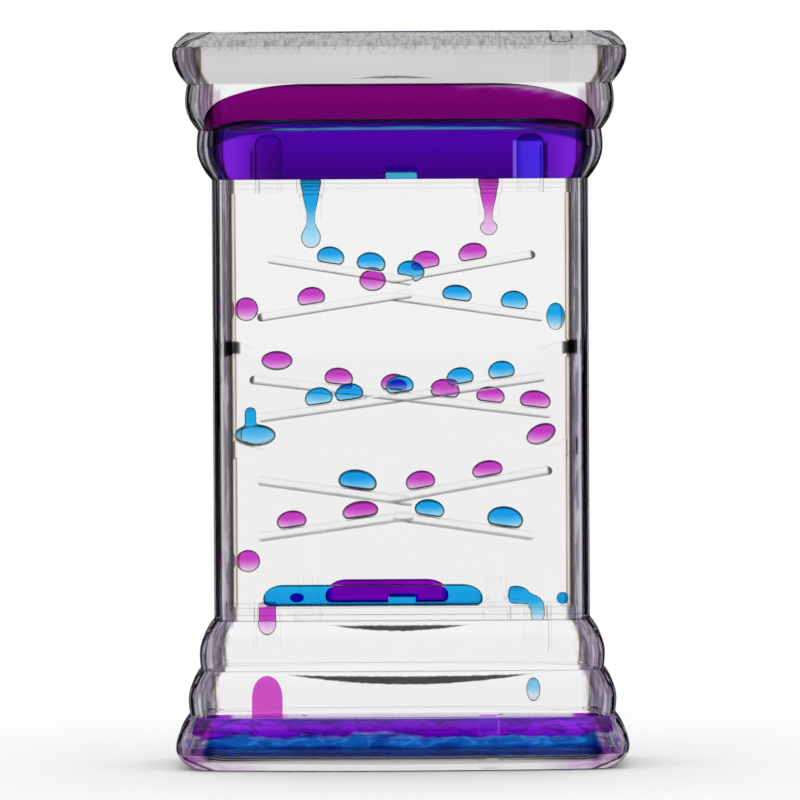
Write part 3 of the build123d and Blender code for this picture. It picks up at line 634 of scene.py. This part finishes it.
# Lids: clear end plates with the shells' outline, welded on once the inside is in place. A clear
# plug is pressed into the filling hole of each, after the oil and the water.
plug_plastic = clear_plastic(Shader("clear_plug"), (0.96, 0.955, 0.94, 1), 1.025)
lid_top = lid_height - clear
lid_rows = [row for row in cap_levels(0.0) if row[0] < lid_height - 0.4]
lid_rows.append((lid_top, flare_at(lobes[0], lid_top), lobes[0][6]))
for node, plug, at_top in (
    ("top_lid", "front_fill_plug", True),
    ("bottom_lid", "rear_fill_plug", False),
):
    points = []
    for z, flare, bulge in lid_rows:
        half = outline(flare, bulge, 0.0)
        whole = half + [(x, -y) for x, y in reversed(half[1:-1])]
        whole.append(whole[0])
        level = total_height - z if at_top else z
        points.append([(x, y, level) for x, y in whole])
    lid = grid_of(points, "clear_" + node)
    pick(lid)
    bpy.ops.object.mode_set(mode="EDIT")
    bpy.ops.mesh.select_all(action="SELECT")
    bpy.ops.mesh.remove_doubles(threshold=0.002 * MM)
    bpy.ops.object.mode_set(mode="OBJECT")
    close_rims(lid, bpy.ops.mesh.edge_face_add)
    mark(lid, "seam_distance", [0.4] * len(lid.data.vertices))
    bpy.ops.object.shade_smooth_by_angle(angle=smooth_angle)
    for face in lid.data.polygons:
        depth = total_height * MM - face.center.z if at_top else face.center.z
        face.material_index = 1 if depth > (lid_top - 0.01) * MM else 0
    give(lid, "case", "clear_case", [node], skin_plastic, inner_plastic)
    eased_copy(plug, "clear_inner", plug_plastic)


# Charges and floor pools: dyed water that waits above, lies on the cell's floor and gathers below.
# Its index is lower than the oil's. Each is tinted by place, as the curved lobes show it: a dome,
# a deep band and paler ends. The upper charges also carry painted light at their tops: a painted
# highlight line, a painted reflected teal band with painted shade below it, a painted highlight on
# the dome, and painted shade beside the tubes. All but the lower charges get painted shade at
# their rims.
def water_surface(made, colour, index):
    return made.node("BsdfGlass", {"distribution": "GGX"}, Color=colour, Roughness=0.0, IOR=index)


def rim_shaded(made, colour, amount, stops):
    """A colour with painted shade that gets darker where the water's skin turns away."""
    facing = made.node("LayerWeight", Blend=0.5).outputs["Facing"]
    rim = made.node("ValToRGB", {"stops": stops}, Fac=facing)
    return made.blend(amount, colour, rim.outputs[0], "MULTIPLY")


def charge_water(name, tones):
    made = Shader(name)
    ripple = noise(made, 140.0, 4.0, 1, 1, 4) - 0.5
    colour = tones(made, place_of(made, "X"), place_of(made, "Z"), ripple)
    # Painted rim shade on all but the lower charges.
    amount = 0.0 if name.endswith("_lower_charge") else 1.0
    rim_stops = [(0.0, 1.0), (0.45, 0.97), (0.62, 0.62), (0.80, 0.30), (0.95, 0.20)]
    return made.finish(water_surface(made, rim_shaded(made, colour, amount, rim_stops), 0.985))


def crown(across, level):
    """The level, raised towards the ends as the dome of the front charge falls there."""
    share = across * (1 / 36)
    square = share * share
    return level + square * square * square * 2.6


def upper_magenta(made, across, level, ripple):
    side = across.absolute()
    deep = made.blend(level.step(117, 124.5), (0.31, 0.0, 0.50), (0.39, 0.0, 0.66))
    deep = made.blend(side.step(22, 35), deep, (0.56, 0.16, 0.86))
    rising = (level + ripple * 3).step(128.2, 133.5)
    dome = made.blend(rising, (0.40, 0.0, 0.37), (0.46, 0.0, 0.43))
    # Painted highlight: a grey, ragged patch high on the dome.
    painted_oil_highlight = (level + ripple * 5 + side * 0.10).step(134.6, 136.0) * across.step(6, 22)
    dome = made.blend(painted_oil_highlight * 0.75, dome, (0.66, 0.60, 0.68))
    top = crown(across, level + ripple * 0.5)
    middle = 1 - side.step(23, 30)
    # Pale here, where the blue charge's painted reflected band shows through.
    whole = made.blend(top.step(126.2, 126.9) * middle, deep, (0.70, 0.85, 0.92))
    whole = made.blend(top.step(128.5, 128.9), whole, dome)
    # Painted highlight: a pale line along the top.
    whole = made.blend(patch(top, 128.2, 0.14, 0.12), whole, (0.85, 0.85, 0.92))
    tube = patch(across, 25.4, 3.0) * (1 - level.step(123.0, 123.6))
    whole = made.blend(tube * 0.9, whole, (0.62, 0.50, 1.0))
    # Painted shade: a dark line at the tube's outer edge.
    tube_edge_shade = patch(across, 28.9, 0.35, 0.3) * (1 - level.step(122.5, 123.6))
    whole = made.blend(tube_edge_shade * 0.85, whole, (0.15, 0.02, 0.30))
    tab = patch(across, 0.3, 3.1, 0.2) * (1 - level.step(118.6, 118.9))
    return made.blend(tab, whole, (1.0, 1.0, 1.0))


def upper_blue(made, across, level, ripple):
    side = across.absolute()
    body = made.blend(side.step(20, 36), (0.72, 0.72, 0.98), (0.82, 0.84, 1.0))
    top = crown(across, level + ripple * 0.5)
    middle = 1 - side.step(23, 30)
    # Painted shade: a dark band just under the top.
    whole = made.blend(top.step(125.2, 125.9), body, (0.34, 0.38, 0.60))
    # Painted reflection: a teal band under the water's top.
    whole = made.blend(top.step(126.2, 127.2) * middle, whole, (0.24, 0.74, 0.86))
    # Painted highlight: a pale line along the top.
    whole = made.blend(patch(top, 128.2, 0.14, 0.12), whole, (0.95, 0.97, 1.0))
    tube = patch(across, -26.3, 2.9) * (1 - level.step(123.0, 123.6))
    whole = made.blend(tube, whole, (0.80, 0.74, 0.90))
    # Painted shade: a dark line at the tube's outer edge.
    tube_edge_shade = patch(across, -29.2, 0.25, 0.3) * (1 - level.step(121.0, 122.6))
    whole = made.blend(tube_edge_shade * 0.7, whole, (0.25, 0.20, 0.40))
    tab = patch(across, 0.3, 3.1, 0.2) * (1 - level.step(118.6, 118.9))
    return made.blend(tab, whole, (0.24, 0.66, 0.82))


def lower_magenta(made, across, level, ripple):
    side = across.absolute()
    deep = made.blend(side.step(14, 36), (0.38, 0.0, 0.66), (0.56, 0.02, 0.84))
    deep = made.blend(patch(ripple, 0.0, 0.035, 0.04) * 0.8, deep, (0.22, 0.0, 0.42))
    deep = made.blend(patch(across, 17.0, 2.1, 0.2), deep, (0.66, 0.10, 0.88))
    whole = made.blend((level + ripple * 4.0).step(4.1, 4.8), (0.90, 0.95, 1.0), deep)
    clear_top = level.step(9.2, 9.6) * (1 - side.step(33.0, 34.5))
    whole = made.blend(clear_top, whole, (0.93, 0.90, 0.95))
    dome = patch(across, -26.4, 3.6) * level.step(9.2, 9.7)
    return made.blend(dome, whole, (0.84, 0.30, 0.79))


def lower_blue(made, across, level, ripple):
    base = made.blend(patch(ripple, 0.03, 0.02, 0.03), (0.01, 0.21, 0.50), (0.05, 0.40, 0.76))
    body = made.blend((level + ripple * 3.0).step(4.2, 5.6), base, (0.74, 0.64, 0.97))
    past = (across.absolute() + level * 0.5).step(40.0, 41.5)
    return made.blend(past, body, (0.98, 0.98, 1.0))


def pool_magenta(made, across, level, ripple):
    deep = made.blend(ripple.step(-0.05, 0.05), (0.46, 0.0, 0.72), (0.54, 0.0, 0.80))
    return made.blend(level.step(36.3, 36.7), deep, (0.62, 0.28, 0.50))


def pool_blue(made, across, level, ripple):
    body = made.blend(level.step(33.5, 36.0), (0.10, 0.62, 0.93), (0.10, 0.70, 0.97))
    tab = patch(across, 0.3, 2.9, 0.3) * (1 - level.step(33.8, 34.1))
    over = patch(across, -2.9, 11.2, 1.6) * patch(level, 34.6, 1.8, 0.8) * (1 - tab)
    return made.blend(over, body, (0.86, 0.50, 0.92))


for node, tones in (
    ("magenta_upper_charge", upper_magenta),
    ("blue_upper_charge", upper_blue),
    ("magenta_lower_charge", lower_magenta),
    ("blue_lower_charge", lower_blue),
    ("magenta_floor_pool", pool_magenta),
    ("blue_floor_pool", pool_blue),
):
    eased_copy(node, node.split("_")[0] + "_water", charge_water(node, tones))


# Drops: dyed water in oil, hanging in the nozzles, lying on ramps and wedges, falling, and
# draining through the tubes. They are round skins over the CAD liquids, with painted shade: deeper
# in colour above than below, and dark edges. Each run of drops rides its own slide joint.
# Painted shade: a dark ring on each hanging drop at these levels.
thread_levels = (115.9, 115.2, 114.5, 113.8, 113.0)
water_index = 0.965


def water(name, dye, density, dye_and_shade_above, shade_rings=()):
    made = Shader(name)
    share = marked(made, "rise") + (noise(made, 900.0, 2.0) - 0.5) * 0.08
    # Painted shade: clear below, dye-coloured above and darker still at the very top.
    crest_shade = tuple(0.72 * part for part in dye_and_shade_above)
    tint = made.node("ValToRGB", {"stops": [
        (0.0, 1.0), (0.12, 0.99), (0.62, dye_and_shade_above), (0.85, dye_and_shade_above), (1.0, crest_shade),
    ]}, Fac=share)
    rim_stops = [(0.0, 1.0), (0.50, 0.98), (0.66, 0.62), (0.80, 0.25), (0.95, 0.12)]
    colour = rim_shaded(made, tint.outputs[0], 1.0, rim_stops)
    level = place_of(made, "Z")
    # Painted shade: a dark ring at each level given.
    for ring in shade_rings:
        colour = made.blend(patch(level, ring, 0.11, 0.12) * 0.42, colour, (0.12, 0.10, 0.25))
    depth = made.node("VolumeAbsorption", Color=(*dye, 1), Density=density)
    return made.finish(water_surface(made, colour, water_index), depth)


def islands(mesh):
    """The vertex numbers of each separate drop in a mesh."""
    neighbours = [[] for _ in mesh.vertices]
    for edge in mesh.edges:
        a, b = edge.vertices
        neighbours[a].append(b)
        neighbours[b].append(a)
    seen = [False] * len(neighbours)
    found = []
    for start in range(len(neighbours)):
        if seen[start]:
            continue
        seen[start] = True
        island = [start]
        for k in island:
            for other in neighbours[k]:
                if not seen[other]:
                    seen[other] = True
                    island.append(other)
        found.append(island)
    return found


def rounded_copy(node, body, slot, grain_size, material):
    """A copy of a CAD liquid, remeshed evenly and smoothed, so that its skin is round all over."""
    copy = copy_of(node, "round_" + node)
    pick(copy)
    even = copy.modifiers.new("even", "REMESH")
    even.mode = "VOXEL"
    even.voxel_size = grain_size * MM
    smooth = copy.modifiers.new("smooth", "SMOOTH")
    smooth.factor = 0.5
    smooth.iterations = 3
    bpy.ops.object.modifier_apply(modifier="even")
    bpy.ops.object.modifier_apply(modifier="smooth")
    bpy.ops.object.shade_smooth()
    rises = [0.0] * len(copy.data.vertices)
    for island in islands(copy.data):
        levels = [copy.data.vertices[k].co.z for k in island]
        low, high = min(levels), max(levels)
        for k, level in zip(island, levels):
            rises[k] = (level - low) / (high - low)
    mark(copy, "rise", rises)
    give(copy, body, slot, [node], material)


blue_dye, blue_dye_and_shade = (0.12, 0.78, 1.0), (0.16, 0.70, 0.96)
magenta_dye, magenta_dye_and_shade = (0.86, 0.12, 0.85), (0.84, 0.33, 0.83)
waters = {
    "blue": water("blue_water", blue_dye, 210, blue_dye_and_shade),
    "magenta": water("magenta_water", magenta_dye, 180, magenta_dye_and_shade),
}
special_waters = {
    "blue_hanging_drop": water("ringed_blue_water", blue_dye, 210, blue_dye_and_shade, thread_levels),
    "magenta_hanging_drop": water(
        "ringed_magenta_water", magenta_dye, 180, magenta_dye_and_shade, thread_levels
    ),
    "blue_reservoir_drop": water("pale_blue_water", (0.35, 0.85, 1.0), 70, (0.50, 0.80, 0.95)),
}
grain_size = 0.24
for body, nodes in frame["record"]["behaviour"]["bodies"].items():
    for node in nodes:
        colour = node.split("_")[0]
        if colour in waters and not frame["nodes"][node].hide_render:
            dyed = special_waters.get(node, waters[colour])
            rounded_copy(node, body, colour + "_water", grain_size, dyed)
